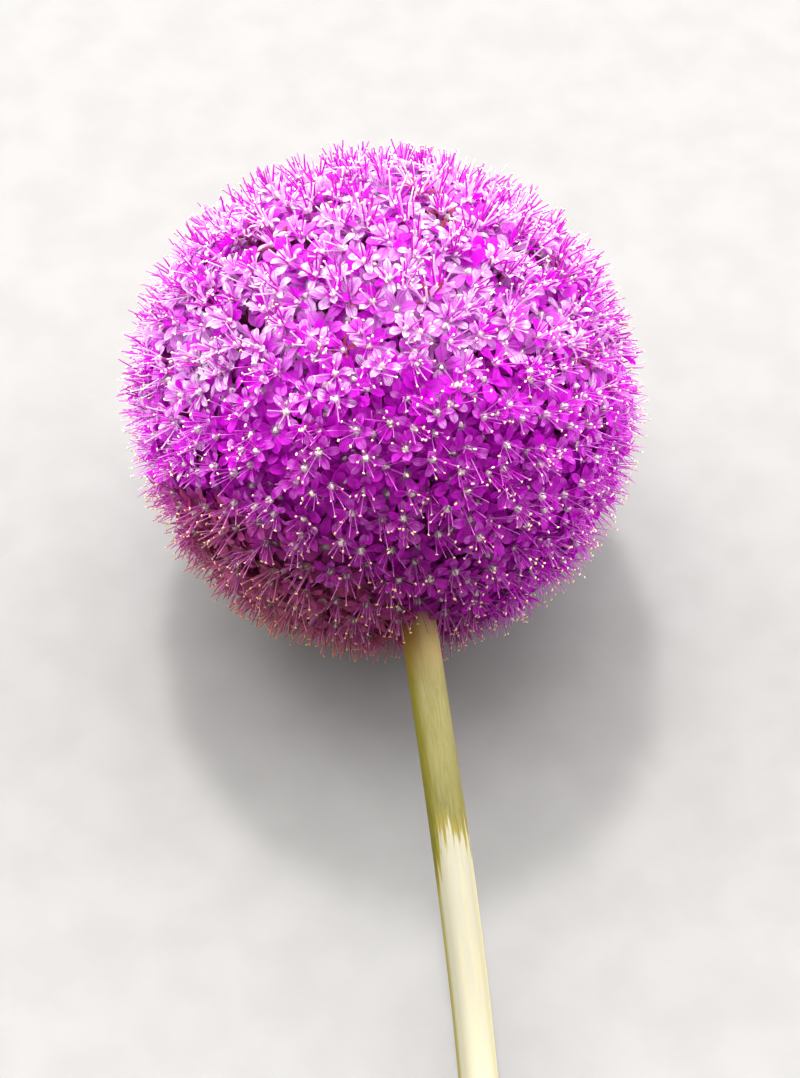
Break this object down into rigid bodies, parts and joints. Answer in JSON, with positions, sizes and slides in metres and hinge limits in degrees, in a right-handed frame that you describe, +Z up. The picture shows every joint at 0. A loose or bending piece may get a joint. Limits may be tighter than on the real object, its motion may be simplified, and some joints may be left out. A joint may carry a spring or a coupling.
{
  "type": "allium flower head",
  "caption": "Round allium umbel of star-shaped florets with protruding stamens on a cut, bare, slightly bowed stem, lying on its side.",
  "frame": {"origin": "the flat spot on which the umbel rests, straight below the umbel's centre", "axes": "+Z up from the surface that the flower lies on, +Y from the cut end of the stem towards the crown of the umbel, +X to its right"},
  "size_m": [0.1407, 0.2783, 0.132],
  "materials": {
    "florets": "soft satin petals, vivid magenta violet",
    "stem": "smooth waxy skin, olive above and cream below"
  },
  "bodies": {
    "root": {"flower_head": "florets", "stem": "stem"}
  },
  "joints": []
}
